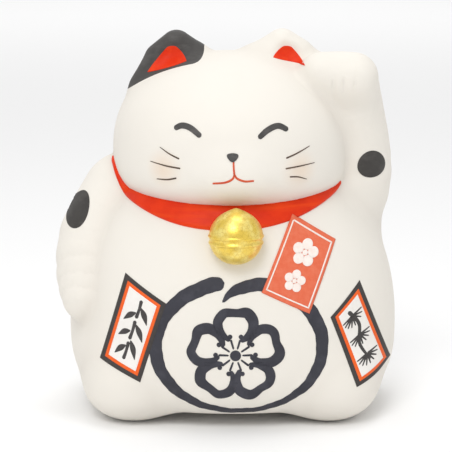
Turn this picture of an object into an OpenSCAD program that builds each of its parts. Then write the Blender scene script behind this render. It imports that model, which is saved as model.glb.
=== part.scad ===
// Sitting beckoning cat: a hollow slip-cast coin bank with painted and pasted-on decoration.
// Millimetres. +Z is up, the cat looks along -Y, and the origin is the middle of the resting plane.

/* [Torso] */
// Width of the torso across the belly
body_w = 140; // [136:1:144]
// Reach of the belly forwards of the middle of the base
belly_reach = 62; // [60:0.5:64]
// Reach of the back behind the middle of the base
back_reach = 56; // [54:0.5:58]
// Height of the widest part of the belly
belly_z = 36; // [34:1:38]

/* [Head] */
// Width of the head across the cheeks
head_w = 100.5; // [98:0.5:103]
// Height of the widest part of the cheeks
cheek_z = 109; // [108:0.5:110]
// Height of the crown between the ears
crown_z = 150.5; // [149:0.5:152]
// Reach of the face forwards of the middle of the base
face_reach = 55.5; // [54:0.5:57]
// Reach of the back of the head behind the middle of the base
nape_reach = 41.5; // [40:0.5:43]

/* [Casting] */
// Thickness of the cast wall
wall = 4; // [3.5:0.5:5]
// How far painted and pasted decoration stands off the surface
film = 0.4; // [0.3:0.1:0.6]
// How far the collar stands off the neck
collar_relief = 1.3; // [1:0.1:1.8]

/* [Coin bank] */
// Length of the coin slot in the back of the head
slot_l = 36; // [32:1:40]
// Height of the coin slot
slot_h = 5; // [4.5:0.1:5.5]
// Height of the middle of the coin slot
slot_z = 122; // [118:1:126]
// Diameter of the hole that the stopper closes
hole_d = 30; // [26:1:34]
// Radial clearance of the stopper in its hole
hole_gap = 0.3; // [0.2:0.05:0.4]

/* [Bell] */
// Diameter of the bell
bell_d = 21.4; // [20:0.2:22]

/* [Hidden] */

thin = 0.01;            // thickness of the slices that the forms are hulled between
far = 200;              // reach of cutting tools past the figure
ink = [0.29, 0.28, 0.27];
vermilion = [0.92, 0.27, 0.08];
bisque = [0.97, 0.96, 0.93];

// Torso: how far it swells above and below its widest height, and how square its profile is
torso_rise = 78;
torso_drop = 42;
torso_top_power = 2.1;
torso_low_power = 2.6;

// Head: the same four values
head_rise = crown_z - cheek_z;
head_drop = 24;
head_top_power = 2.3;
head_low_power = 2.8;

plan_power = 2.15;      // squareness of the level sections
plan_points = 44;

// Base: a plate with a foot ring, luted into the underside against a ledge, behind the two feet
underside_z = 4.6;      // the belly clears the table by this much
base_y = 14;
foot_ring_r = 35;
foot_ring_w = 5;
seat_gap = 0.25;
recess_h = 2.6;         // the flange of the stopper hides in this recess
plate_top = 8.6;
ledge_r = 31;
flange_r = hole_d / 2 + 4;
flange_h = 1.8;
plug_h = 13;

collar_w = 9;           // width of the collar under the chin
collar_lean = 0.6;
bell_c = [2, -(belly_reach - 3.6), 80.6];
tail_c = [14, back_reach - 3.5, 20];

// ---------- form tools ----------

function swell(share, power) = pow(1 - pow(min(abs(share), 1), power), 1 / power);

// Distance from the centre to a superellipse of unit size, seen at an angle
function plan_r(angle, power) =
    pow(pow(abs(cos(angle)), power) + pow(abs(sin(angle)), power), -1 / power);

module level_section(half_w, front, back) {
    mid_y = (back - front) / 2;
    half_d = (back + front) / 2;
    translate([0, mid_y])
        polygon([for (i = [0 : plan_points - 1])
            let (a = i * 360 / plan_points, r = plan_r(a, plan_power))
            [half_w * r * cos(a), half_d * r * sin(a)]]);
}

// A closed bulging form: slices at even angles of rise, joined by hulls
module bulb(half_w, front, back, mid_z, rise, drop, top_power, low_power,
            from = -88, to = 88, step = 11) {
    for (a = [from : step : to - step])
        hull() for (b = [a, a + step]) {
            share = sin(b);
            width = swell(share, b > 0 ? top_power : low_power);
            translate([0, 0, mid_z + share * (b > 0 ? rise : drop)])
                linear_extrude(thin) level_section(half_w * width, front * width, back * width);
        }
}

// All space over a height
module above(z) { translate([-far, -far, z]) cube(2 * far); }

module torso_form(grow = 0) {
    intersection() {
        bulb(body_w / 2 + grow, belly_reach + grow, back_reach + grow, belly_z,
             torso_rise + grow, torso_drop + grow, torso_top_power, torso_low_power);
        above(underside_z);
    }
}

module head_form(grow = 0) {
    bulb(head_w / 2 + grow, face_reach + grow, nape_reach + grow, cheek_z,
         head_rise + grow, head_drop + grow, head_top_power, head_low_power);
}

// Rounded limb through a row of [place, radius] balls
module limb(balls, grow = 0) {
    for (i = [0 : len(balls) - 2])
        hull() for (j = [i, i + 1])
            translate(balls[j][0]) sphere(r = balls[j][1] + grow, $fn = 28);
}

// Anything drawn in the XZ plane, cast onto whatever faces front
module cast_front(reach = 120) {
    rotate([90, 0, 0]) linear_extrude(reach) children();
}

// A brush stroke through [place, width] points, each a round touch of the brush
module stroke(points) {
    for (i = [0 : len(points) - 2])
        hull() for (j = [i, i + 1])
            translate(points[j][0]) circle(d = points[j][1], $fn = 12);
}

// ---------- limbs and ears as whole forms ----------

module raised_arm_form(grow = 0) {
    limb([[[43, 6, 78], 17.5], [[48.6, 4, 92], 19.6], [[49.8, 1, 106], 18.6], [[47.6, -3, 121], 18.2],
          [[46, -8, 134], 17]], grow);
    limb([[[36.5, -20, 141.4], 9.4], [[52, -20, 141.4], 9.4], [[46, -8, 134], 17]], grow);
}

module lowered_arm_form(grow = 0) {
    limb([[[-42.6, 0, 87.6], 19.6], [[-54, -9, 71], 20], [[-56.3, -17, 58], 17.4],
          [[-58.6, -28, 51.5], 9.8]], grow);
}

// A cat's ear through [x, z, radius] knobs along its rim, standing on two rows of them at its root
module ear_form(rim, grow = 0) {
    hull() for (k = rim) for (depth = [-10 - 3 * (k[3]), -3 + 4 * k[3]])
        translate([k[0], depth, k[1]]) scale([1, 0.8, 1]) sphere(r = k[2] + grow, $fn = 24);
}

// The last value of each knob is 1 at the root and 0 at the tip
module black_ear_form(grow = 0) {
    ear_form([[-38.2, 137, 4.4, 1], [-33, 147.4, 4.8, 0.4], [-23.6, 152.3, 7.4, 0], [-15.6, 147.8, 5.6, 1]], grow);
}

module white_ear_form(grow = 0) {
    ear_form([[34.5, 144.4, 6, 1], [21.6, 152.8, 7.2, 0], [12.4, 145, 6, 1]], grow);
}

// Foot of the cat: a low rounded toe end
module foot_form(side) {
    intersection() {
        translate([side * 42.6, -35.5, 13.2]) scale([17.6, 21.5, 13.4]) sphere(r = 1, $fn = 36);
        above(0);
    }
}

// The room inside the torso, one wall in from the outside
module coin_room() {
    intersection() {
        torso_form(-wall);
        above(plate_top + wall);
    }
}

// The round recess in the underside that takes the base plate
module base_seat() {
    translate([0, base_y, -1]) cylinder(r = foot_ring_r + seat_gap, h = plate_top + 1, $fn = 96);
}

// ---------- castings ----------

module torso_shell() {
    color(bisque) difference() {
        torso_form();
        head_form();
        coin_room();
        base_seat();
        translate([0, base_y, 0]) cylinder(r = ledge_r, h = plate_top + 2 * wall, $fn = 96);
    }
}

module head_shell() {
    color(bisque) difference() {
        head_form();
        head_form(-wall);
        coin_room();
        translate([-slot_l / 2, 0, slot_z - slot_h / 2]) cube([slot_l, far, slot_h]);
    }
}

module base_plate() {
    color(bisque) difference() {
        translate([0, base_y, 0]) cylinder(r = foot_ring_r, h = plate_top, $fn = 96);
        translate([0, base_y, -1]) cylinder(r = foot_ring_r - foot_ring_w, h = recess_h + 1, $fn = 96);
        translate([0, base_y, 0]) cylinder(d = hole_d, h = 2 * plate_top, $fn = 96);
    }
}

// Soft stopper: a flange under the plate and a hollow plug that tapers to its lip
module stopper() {
    plug_r = hole_d / 2 - hole_gap;
    lip_r = plug_r - 1.2;
    rubber = 2.4;
    pull = 7;
    straight = plate_top - recess_h;
    color([0.86, 0.86, 0.83]) translate([0, base_y, recess_h - flange_h])
        rotate_extrude($fn = 96) polygon([
            [pull, 0], [flange_r, 0], [flange_r, flange_h], [plug_r, flange_h],
            [plug_r, flange_h + straight], [lip_r, flange_h + plug_h],
            [lip_r - rubber, flange_h + plug_h], [plug_r - rubber, flange_h + 1], [0, flange_h + 1],
            [0, 0.8], [pull, 0.8]]);
}

module black_ear() {
    color(ink) difference() { black_ear_form(); head_form(); }
}

module white_ear() {
    color(bisque) difference() { white_ear_form(); head_form(); }
}

// Rounded three-cornered patch inside an ear
module lining_patch(corners) {
    hull() for (c = corners) translate(c) circle(r = 1.2, $fn = 16);
}

module ear_linings() {
    color(vermilion) difference() {
        union() {
            intersection() {
                black_ear_form(film);
                cast_front(20) lining_patch([[-26, 150.6], [-35.6, 140.4], [-19.8, 145.2]]);
            }
            intersection() {
                white_ear_form(film);
                cast_front(20) lining_patch([[23.6, 151.8], [18.2, 147.4], [29.6, 144.6]]);
            }
        }
        black_ear_form();
        white_ear_form();
        head_form();
        raised_arm_form();
    }
}

module raised_arm() {
    color(bisque) difference() {
        raised_arm_form();
        torso_form();
        head_form();
        white_ear_form();
    }
}

module lowered_arm() {
    color(bisque) difference() { lowered_arm_form(); torso_form(); head_form(); }
}

module foot(side) {
    color(bisque) difference() {
        foot_form(side);
        torso_form();
        base_seat();
    }
}

module tail() {
    color(bisque) difference() {
        intersection() {
            limb([[tail_c - [26, 3, 9], 7.5], [tail_c - [12, 0.5, 10], 8], [tail_c + [0, 0, -6], 8],
                  [tail_c + [5, -1, 4], 7.5], [tail_c + [0, -2, 12], 7], [tail_c + [-8, -2, 14], 6]]);
            above(0);
        }
        torso_form();
        base_seat();
    }
}

// ---------- collar and bell ----------

// The part of the shoulders that the collar covers: widest under the chin, a tip at each cheek
module collar_reach(more = 0) {
    translate([0, -collar_lean, -collar_w]) head_form(1 + more);
}

module collar() {
    color(vermilion) difference() {
        intersection() { torso_form(collar_relief); collar_reach(); }
        torso_form();
        head_form();
        raised_arm_form();
        lowered_arm_form();
    }
}

// Round bell with a pointed crown and two ribs round its middle, turned from one outline
module bell_form() {
    r = bell_d / 2;
    rib = 0.5;
    crown = [[4.2, r - 1.1], [1.6, r + 0.9], [0, r + 1.7]];
    belt = [[-2.6, 0], [-2.2, rib], [-1.8, 0], [0.2, 0], [0.6, rib], [1, 0]];
    low = [for (a = [-90 : 11 : -20]) [r * cos(a), r * sin(a)]];
    high = [for (a = [12 : 10.5 : 64]) [r * cos(a), r * sin(a)]];
    middle = [for (b = belt) [sqrt(r * r - b[0] * b[0]) + b[1], b[0]]];
    translate(bell_c) rotate_extrude($fn = 40)
        polygon(concat(low, middle, high, crown));
}

module bell() {
    color([0.9, 0.76, 0.3]) difference() {
        bell_form();
        translate(bell_c + [0, -bell_d / 2 - 0.4, -4.8]) sphere(r = 1.5, $fn = 20);
        torso_form();
        collar();
        head_form();
    }
}

// ---------- painted and pasted decoration ----------

// A film on the front of the torso, as thick as the finish that it stands for
module torso_film(thickness = film) {
    difference() {
        intersection() { torso_form(thickness); cast_front() children(); }
        torso_form();
    }
}

// A film on the front of the head
module face_film() {
    difference() {
        intersection() { head_form(film); cast_front() children(); }
        head_form();
    }
}

ring_c = [3.2, 35];
ring_half = [36, 29];

module belly_ring() {
    color([0.27, 0.27, 0.31]) torso_film() difference() {
        translate(ring_c) scale(ring_half) circle(r = 1, $fn = 72);
        translate(ring_c + [0.4, 0.4]) scale(ring_half - [5, 3.6]) circle(r = 1, $fn = 72);
        translate(ring_c + [-7, 20]) rotate(-38) square([3.4, 20]);
        left_slip_outline();
        card_outline();
    }
}

// Plum blossom: five petals round an open middle with its stamens as one dot
module belly_blossom() {
    color([0.27, 0.27, 0.31]) torso_film() translate(ring_c + [0, -1.5]) {
        for (i = [0 : 4]) rotate(90 + i * 72) translate([11.4, 0]) scale([7, 6]) circle(r = 1, $fn = 20);
        circle(r = 3, $fn = 20);
    }
}

module card_outline() { polygon([[24.7, 87], [42.2, 76.2], [31.4, 48.6], [12.4, 57.5]]); }

module left_slip_outline() { polygon([[-42.6, 62.5], [-26.5, 52], [-36.7, 17], [-53.5, 26]]); }

module left_slip() {
    color(ink) difference() {
        torso_film() left_slip_outline();
        foot_form(-1);
    }
}

module right_slip() {
    color(ink) difference() {
        torso_film() polygon([[53, 57.4], [40.9, 45], [52.1, 12.4], [66.2, 22.4]]);
        foot_form(1);
    }
}

// Card pasted on the chest over the ring, up to the edge of the collar
module luck_card() {
    color([0.88, 0.42, 0.3]) difference() {
        torso_film(2 * film) card_outline();
        collar_reach(0.05);
        bell_form();
    }
}

// Closed smiling eyes: two arched strokes
module eyes() {
    color(ink) face_film() for (side = [-1, 1])
        translate([side * 17.2, 115.2]) rotate(side * -7) difference() {
            scale([6.4, 8.2]) circle(r = 1, $fn = 48);
            translate([0, -0.4]) scale([4.9, 6]) circle(r = 1, $fn = 48);
            translate([-10, -18.4]) square([20, 20]);
        }
}

module nose() {
    color(ink) face_film() hull() {
        for (side = [-1, 1]) translate([0.6 + side * 1.7, 111.6]) circle(r = 1.1, $fn = 24);
        translate([0.6, 109.6]) circle(r = 0.9, $fn = 24);
    }
}

module mouth() {
    color(vermilion) face_film() {
        stroke([[[0.6, 107.9], 0.9], [[1, 104.4], 0.9]]);
        for (side = [-1, 1])
            stroke([[[1, 104.6], 0.9], [[1 + side * 3, 102], 0.9], [[1 + side * 8.3, 101.2], 0.8]]);
    }
}

module whiskers() {
    color(ink) face_film() for (side = [-1, 1]) {
        stroke([[[side * 21.4, 110.4], 0.8], [[side * 30, 114.6], 0.5]]);
        stroke([[[side * 21, 106.4], 0.8], [[side * 33, 108.2], 0.5]]);
        stroke([[[side * 22.6, 102.8], 0.8], [[side * 30.4, 101.6], 0.5]]);
    }
}

module arm_spots() {
    color(ink) difference() {
        union() {
            intersection() {
                raised_arm_form(film);
                translate([58.8, -30, 103.6]) cast_front() circle(r = 6, $fn = 32);
            }
            intersection() {
                lowered_arm_form(film);
                translate([-63.8, -10, 84.8]) cast_front() rotate(-22) scale([4.6, 7.4]) circle(r = 1, $fn = 32);
            }
        }
        raised_arm_form();
        lowered_arm_form();
        torso_form();
    }
}

torso_shell();
head_shell();
base_plate();
stopper();
black_ear();
white_ear();
ear_linings();
raised_arm();
lowered_arm();
foot(-1);  // left_foot
foot(1);  // right_foot
tail();
collar();
bell();
belly_ring();
belly_blossom();
left_slip();
right_slip();
luck_card();
eyes();
nose();
mouth();
whiskers();
arm_spots();
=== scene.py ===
"""Looks of the seated beckoning cat coin bank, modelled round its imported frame."""
import logging
import math
from dataclasses import dataclass, field
from enum import Enum
from typing import Callable, Iterable, Sequence

import bmesh
import bpy
import numpy as np
from mathutils import Matrix, Vector
from mathutils.bvhtree import BVHTree


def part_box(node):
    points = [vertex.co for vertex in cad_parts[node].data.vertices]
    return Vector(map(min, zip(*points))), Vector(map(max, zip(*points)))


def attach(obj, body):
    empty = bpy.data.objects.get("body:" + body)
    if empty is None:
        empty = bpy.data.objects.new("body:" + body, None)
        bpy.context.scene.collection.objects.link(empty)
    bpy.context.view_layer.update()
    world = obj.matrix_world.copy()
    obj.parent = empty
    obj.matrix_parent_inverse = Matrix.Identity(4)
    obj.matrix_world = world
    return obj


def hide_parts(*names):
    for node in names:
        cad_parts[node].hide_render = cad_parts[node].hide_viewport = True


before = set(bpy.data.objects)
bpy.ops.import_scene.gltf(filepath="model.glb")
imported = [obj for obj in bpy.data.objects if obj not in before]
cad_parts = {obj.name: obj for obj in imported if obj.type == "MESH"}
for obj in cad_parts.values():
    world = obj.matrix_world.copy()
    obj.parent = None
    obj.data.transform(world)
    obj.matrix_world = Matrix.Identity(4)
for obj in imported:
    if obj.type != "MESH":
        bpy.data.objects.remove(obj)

LOG = logging.getLogger("beckoning_cat")
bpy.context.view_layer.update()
MM = 0.001                 # the forms below are in millimetres, the scene is in metres
FIGURE = "figure"          # the body that every fixed piece rides on
STOPPER = "stopper"

Points = np.ndarray        # n rows of x, y, z in millimetres
Values = np.ndarray        # one number for each row


def node_box(node: str) -> tuple[Vector, Vector]:
    """Lowest and highest corner of a CAD node in millimetres.

    Args:
        node: name of the node.

    Returns:
        The two corners.
    """
    low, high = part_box(node)
    return Vector(low) / MM, Vector(high) / MM


# ---------------------------------------------------------------- clay forms


def soft_min(a: Values, b: Values, fillet: float | Values) -> Values:
    """Join two distance fields with a fillet where they meet.

    Args:
        a: distances to the first form.
        b: distances to the second form.
        fillet: how far from the joint the fillet reaches.

    Returns:
        Distances to the joined form.
    """
    h = np.clip(0.5 + 0.5 * (b - a) / fillet, 0.0, 1.0)
    return b + (a - b) * h - fillet * h * (1.0 - h)


def soft_max(a: Values, b: Values, fillet: float) -> Values:
    """Keep what two forms share, with a rounded edge between them.

    Args:
        a: distances to the first form.
        b: distances to the second form.
        fillet: how far from the edge the rounding reaches.

    Returns:
        Distances to the shared form.
    """
    return -soft_min(-a, -b, fillet)


def along_curve(knots: Sequence[Sequence[float]], count: int) -> np.ndarray:
    """Smooth curve through some knots, at even steps of its parameter.

    Args:
        knots: the knots, each a row of numbers.
        count: how many points to give.

    Returns:
        The points.
    """
    k = np.array(knots, float)
    if len(k) == 2:
        return k[0] + np.linspace(0, 1, count)[:, None] * (k[1] - k[0])
    ends = np.vstack([2 * k[0] - k[1], k, 2 * k[-1] - k[-2]])
    t = np.linspace(0, len(k) - 1 - 1e-9, count)
    i = t.astype(int)
    u = (t - i)[:, None]
    a, b, c, d = ends[i], ends[i + 1], ends[i + 2], ends[i + 3]
    return 0.5 * (2 * b + (c - a) * u + (2 * a - 5 * b + 4 * c - d) * u**2 + (3 * b - a - 3 * c + d) * u**3)


@dataclass(frozen=True)
class Bulb:
    """A closed swelling form with superelliptic sections, fuller in front or behind as it needs."""

    centre: tuple[float, float, float]
    half_w: float
    front: float
    back: float
    rise: float
    drop: float
    top_power: float = 2.0
    low_power: float = 2.0
    plan_power: float = 2.0

    def distance(self, p: Points) -> Values:
        """Distance of points to the surface, below zero inside.

        Args:
            p: the points.

        Returns:
            Their distances.
        """
        x, y, z = (p - np.array(self.centre)).T
        m = self.plan_power
        depth = np.where(y < 0, self.front, self.back)
        height = np.where(z > 0, self.rise, self.drop)
        n = np.where(z > 0, self.top_power, self.low_power)
        ax, ay = np.abs(x / self.half_w) + 1e-9, np.abs(y / depth) + 1e-9
        q = (ax**m + ay**m) ** (1 / m)
        t = np.abs(z / height) + 1e-9
        gauge = (q**n + t**n) ** (1 / n)
        by_q = (q / gauge) ** (n - 1)
        slope_x = by_q * (ax / q) ** (m - 1) / self.half_w
        slope_y = by_q * (ay / q) ** (m - 1) / depth
        slope_z = (t / gauge) ** (n - 1) / height
        return (gauge - 1.0) / np.sqrt(slope_x**2 + slope_y**2 + slope_z**2)

    def rough_out(self, bm: bmesh.types.BMesh) -> None:
        """Add a coarse closed mesh of the form.

        Args:
            bm: the mesh to add it to.
        """
        made = bmesh.ops.create_icosphere(bm, subdivisions=5, radius=1.0)["verts"]
        rays = np.array([v.co[:] for v in made])
        low, high = np.full(len(rays), 1.0), np.full(len(rays), 200.0)
        for _ in range(18):
            mid = (low + high) / 2
            inside = self.distance(np.array(self.centre) + rays * mid[:, None]) < 0
            low, high = np.where(inside, mid, low), np.where(inside, high, mid)
        for v, ray, reach in zip(made, rays, low):
            v.co = (Vector(self.centre) + Vector(ray) * reach) * MM


@dataclass(frozen=True)
class Limb:
    """A rounded limb through a row of balls, each x, y, z and radius."""

    balls: tuple[tuple[float, float, float, float], ...]

    def bones(self) -> np.ndarray:
        """The balls along a smooth curve, with one more between each pair."""
        return along_curve(self.balls, 2 * len(self.balls) - 1)

    def distance(self, p: Points) -> Values:
        """Distance of points to the surface, below zero inside.

        Args:
            p: the points.

        Returns:
            Their distances.
        """
        whole = np.full(len(p), 1e3)
        bones = self.bones()
        for start, end in zip(bones, bones[1:]):
            a, run = start[:3], end[:3] - start[:3]
            t = np.clip((p - a) @ run / (run @ run), 0.0, 1.0)
            gap = np.linalg.norm(p - a - t[:, None] * run, axis=1)
            whole = np.minimum(whole, gap - start[3] - t * (end[3] - start[3]))
        return whole

    def rough_out(self, bm: bmesh.types.BMesh) -> None:
        """Add a coarse closed mesh of the form, one hull for each pair of balls.

        Args:
            bm: the mesh to add it to.
        """
        for pair in zip(self.balls, self.balls[1:]):
            hull_of_balls(bm, pair)


def hull_of_balls(bm: bmesh.types.BMesh, balls: Iterable[Sequence[float]]) -> None:
    """Wrap a hull round some balls.

    Args:
        bm: the mesh to add it to.
        balls: x, y, z and radius of each.
    """
    lump = bmesh.new()
    for x, y, z, r in balls:
        place = Matrix.Translation(Vector((x, y, z)) * MM)
        bmesh.ops.create_icosphere(lump, subdivisions=3, radius=r * MM, matrix=place)
    bmesh.ops.delete(lump, geom=lump.edges[:] + lump.faces[:], context="EDGES_FACES")
    bmesh.ops.convex_hull(lump, input=lump.verts[:])
    bmesh.ops.delete(lump, geom=[v for v in lump.verts if not v.link_faces], context="VERTS")
    pour(lump, bm)


def pour(source: bmesh.types.BMesh, target: bmesh.types.BMesh) -> None:
    """Add one mesh to another and free it.

    Args:
        source: the mesh that is added.
        target: the mesh that takes it.
    """
    carrier = bpy.data.meshes.new("carrier")
    source.to_mesh(carrier)
    source.free()
    target.from_mesh(carrier)
    bpy.data.meshes.remove(carrier)


@dataclass(frozen=True)
class Ear:
    """A cat's ear: a three-cornered pad with a convex outer rim and a shallow dish in front."""

    outer: tuple[float, float, float]     # x, z and radius of the outer root
    shoulder: tuple[float, float, float]  # the same part way up the outer rim
    tip: tuple[float, float, float]
    inner: tuple[float, float, float]
    mid_y: float = -5.0
    flatness: float = 1.05
    dish: tuple[float, float, float] = (0.0, 0.0, 0.0)   # x, z and depth of the dish in front

    def corners(self) -> tuple[tuple[float, float, float], ...]:
        """The ear's knobs in order round its rim."""
        return self.outer, self.shoulder, self.tip, self.inner

    def distance(self, p: Points) -> Values:
        """Distance of points to the surface, below zero inside.

        Args:
            p: the points.

        Returns:
            Their distances.
        """
        knobs = self.corners()
        flat = p[:, [0, 2]]
        deep = (p[:, 1] - self.mid_y) / self.flatness
        whole = np.full(len(p), 1e3)
        inside = np.ones(len(p), bool)
        middle = np.mean([k[:2] for k in knobs], axis=0)
        for a, b in zip(knobs, knobs[1:] + knobs[:1]):
            start, run = np.array(a[:2]), np.array(b[:2]) - np.array(a[:2])
            t = np.clip((flat - start) @ run / (run @ run), 0.0, 1.0)
            away = np.linalg.norm(flat - start - t[:, None] * run, axis=1)
            whole = np.minimum(whole, np.hypot(away, deep) - (a[2] + t * (b[2] - a[2])))
            side = run[0] * (flat[:, 1] - start[1]) - run[1] * (flat[:, 0] - start[0])
            own = run[0] * (middle[1] - start[1]) - run[1] * (middle[0] - start[0])
            inside &= side * own > 0
        thick = np.mean([k[2] for k in knobs])
        body = np.where(inside, np.abs(deep) - thick, whole)
        body = np.where(inside, np.minimum(body, whole), whole)
        x, z, depth = self.dish
        if depth > 0:
            front = self.mid_y - thick * self.flatness
            bowl = Bulb((x, front - 9.0, z), 9.0, 9.0 + depth, 9.0 + depth, 10.0, 10.0)
            body = soft_max(body, -bowl.distance(p), 2.0)
        return body

    def rough_out(self, bm: bmesh.types.BMesh) -> None:
        """Add a coarse closed mesh of the form.

        Args:
            bm: the mesh to add it to.
        """
        hull_of_balls(bm, [(x, self.mid_y, z, r) for x, z, r in self.corners()])


@dataclass(frozen=True)
class CatForms:
    """Every form that the white skin is blended from, in millimetres."""

    underside_z: float = 4.6
    torso: Bulb = field(default=None)
    head: Bulb = field(default=None)
    muzzle: Bulb = Bulb((1.0, -47.5, 104.0), 15.0, 9.0, 9.0, 9.5, 8.5)
    black_ear: Ear = Ear((-35.7, 136.6, 6.0), (-29.6, 147.2, 6.9), (-22.9, 152.7, 6.8), (-16.6, 149.0, 6.3),
                         dish=(-26.0, 148.0, 1.8))
    white_ear: Ear = Ear((33.8, 144.0, 6.6), (28.4, 149.2, 6.6), (21.4, 153.2, 6.9), (12.2, 147.2, 6.8),
                         dish=(24.0, 149.0, 1.8))
    raised_arm: Limb = Limb(((43, 6, 78, 17.5), (48.6, 4, 92, 19.4), (49.8, 1, 106, 18.4),
                             (47.6, -3, 121, 17.8), (46, -8, 134, 16.6)))
    raised_paw: Limb = Limb(((37.5, -20.5, 141.8, 9.4), (50.8, -21.5, 141.2, 9.8)))
    lowered_arm: Limb = Limb(((-43.8, -2, 87.6, 20.3), (-53.6, -9, 71.5, 19.4), (-56.6, -17, 58, 17.0),
                              (-59.9, -26.5, 49.6, 10.6)))
    tail: Limb = Limb(((-12, 49.5, 11, 7.4), (2, 53, 10, 7.8), (14, 52.5, 14, 7.8), (19, 51.5, 24, 7.3),
                       (14, 50.5, 32, 6.8), (6, 50.5, 34, 5.8)))

    def feet(self) -> tuple[Bulb, Bulb]:
        """The two round toe ends."""
        return tuple(Bulb((side * 42.2, -33.0, 14.0), 18.4, 22.5, 26.0, 17.5, 14.0) for side in (-1, 1))

    def shares(self, p: Points) -> dict[str, Values]:
        """Distance of points to each casting's own form.

        Args:
            p: the points.

        Returns:
            The distances by casting.
        """
        left, right = self.feet()
        arm = soft_min(self.raised_arm.distance(p), self.raised_paw.distance(p), 7.0)
        return {
            "head_shell": soft_min(self.head.distance(p), self.muzzle.distance(p), 7.0),
            "black_ear": self.black_ear.distance(p),
            "white_ear": self.white_ear.distance(p),
            "torso_shell": soft_max(self.torso.distance(p), self.underside_z - p[:, 2], 5.0),
            "raised_arm": arm + self.toe_lines(p),
            "lowered_arm": self.lowered_arm.distance(p),
            "left_foot": soft_max(left.distance(p), -p[:, 2], 2.0),
            "right_foot": soft_max(right.distance(p), -p[:, 2], 2.0),
            "tail": soft_max(self.tail.distance(p), 2.0 - p[:, 2], 2.0),
        }

    def toe_lines(self, p: Points) -> Values:
        """Depth of the faint grooves between the toes of the raised paw.

        Args:
            p: the points.

        Returns:
            The depth at each point.
        """
        depth = np.zeros(len(p))
        for x in (41.6, 45.8, 50.0):
            across = np.exp(-(((p[:, 0] - x) / 0.55) ** 2))
            along = np.exp(-(((p[:, 2] - 138.6) / 3.2) ** 2)) * (p[:, 1] < -20)
            depth += 0.42 * across * along
        return depth

    def head_group(self, part: dict[str, Values]) -> Values:
        """Head and ears as one form."""
        with_black = soft_min(part["head_shell"], part["black_ear"], 7.0)
        return soft_min(with_black, part["white_ear"], 8.0)

    def body_group(self, part: dict[str, Values]) -> Values:
        """Torso, arms, feet and tail as one form.

        Args:
            part: each form's distances.

        Returns:
            The body's distances.
        """
        body = soft_min(part["torso_shell"], part["lowered_arm"], 2.6)
        body = soft_min(body, part["raised_arm"], 10.0)
        body = soft_min(body, part["left_foot"], 11.0)
        body = soft_min(body, part["right_foot"], 11.0)
        return soft_min(body, part["tail"], 4.0)

    def skin(self, p: Points) -> Values:
        """The whole white skin: crisp round the neck, softly filled where the arm meets the head.

        Args:
            p: the points.

        Returns:
            The skin's distances.
        """
        part = self.shares(p)
        beside_paw = np.clip((p[:, 2] - 100.0) / 25.0, 0.0, 1.0) * (p[:, 0] > 0)
        whole = soft_min(self.head_group(part), self.body_group(part), 1.2 + 3.6 * beside_paw)
        return soft_max(whole, -p[:, 2], 1.0)

    def shoulders(self, p: Points) -> Values:
        """The skin without the head, which the collar lies on."""
        return self.body_group(self.shares(p))


def cat_forms() -> CatForms:
    """The forms with the torso and head taken from their CAD nodes' boxes.

    Returns:
        The forms.
    """
    low, high = node_box("torso_shell")
    belly_z = 36.0
    torso = Bulb((0.7, 0.0, belly_z), high.x - 0.2, -low.y - 0.2, high.y - 0.2, 78.0, 42.0, 2.1, 2.95, 2.15)
    low, high = node_box("head_shell")
    cheek_z = 109.0
    head = Bulb((0.0, 0.0, cheek_z), high.x - 0.2, -low.y - 0.2, high.y - 0.2, high.z - cheek_z, 25.0, 2.3, 2.8,
                2.15)
    return CatForms(torso=torso, head=head)


def steepest(surface: Callable[[Points], Values], p: Points, d: Values) -> Points:
    """Slope of a distance field.

    Args:
        surface: the field.
        p: where to take it.
        d: the field's value there.

    Returns:
        One slope vector for each point.
    """
    nudge = 0.02
    return np.stack([(surface(p + nudge * axis) - d) / nudge for axis in np.eye(3)], axis=1)


def settle(surface: Callable[[Points], Values], p: Points, rounds: int = 5) -> Points:
    """Move points onto a form's surface.

    Args:
        surface: the form's distance field.
        p: the points.
        rounds: how many steps to take.

    Returns:
        The moved points.
    """
    for _ in range(rounds):
        d = surface(p)
        slope = steepest(surface, p, d)
        step = np.clip(d / np.maximum((slope**2).sum(axis=1), 0.2), -2.0, 2.0)
        p = p - step[:, None] * slope
    return p


# ---------------------------------------------------------------- mesh tools


def coords(bm: bmesh.types.BMesh) -> Points:
    """Places of a mesh's vertices in millimetres."""
    return np.array([v.co[:] for v in bm.verts]) / MM


def put_coords(bm: bmesh.types.BMesh, p: Points) -> None:
    """Move a mesh's vertices.

    Args:
        bm: the mesh.
        p: the new places in millimetres.
    """
    for v, place in zip(bm.verts, p * MM):
        v.co = place


def throw_clay(forms: Iterable, surface: Callable[[Points], Values], grain: float) -> bmesh.types.BMesh:
    """Make one even skin over several forms and settle it on their blended surface.

    Args:
        forms: the forms, each of which can rough itself out.
        surface: the blended distance field.
        grain: size of the skin's faces in millimetres.

    Returns:
        The skin.
    """
    rough = bmesh.new()
    for form in forms:
        form.rough_out(rough)
    mesh = bpy.data.meshes.new("clay")
    rough.to_mesh(mesh)
    rough.free()
    lump = bpy.data.objects.new("clay", mesh)
    bpy.context.scene.collection.objects.link(lump)
    remesh = lump.modifiers.new("even", "REMESH")
    remesh.mode = "VOXEL"
    remesh.voxel_size = grain * MM
    shaped = lump.evaluated_get(bpy.context.evaluated_depsgraph_get()).to_mesh()
    bm = bmesh.new()
    bm.from_mesh(shaped)
    bpy.data.objects.remove(lump)
    bpy.data.meshes.remove(mesh)
    for _ in range(2):
        put_coords(bm, settle(surface, coords(bm), 2))
        for _ in range(4):
            bmesh.ops.smooth_vert(bm, verts=bm.verts, factor=0.5, use_axis_x=True, use_axis_y=True, use_axis_z=True)
    put_coords(bm, settle(surface, coords(bm), 4))
    bmesh.ops.recalc_face_normals(bm, faces=bm.faces)
    return bm


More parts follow.
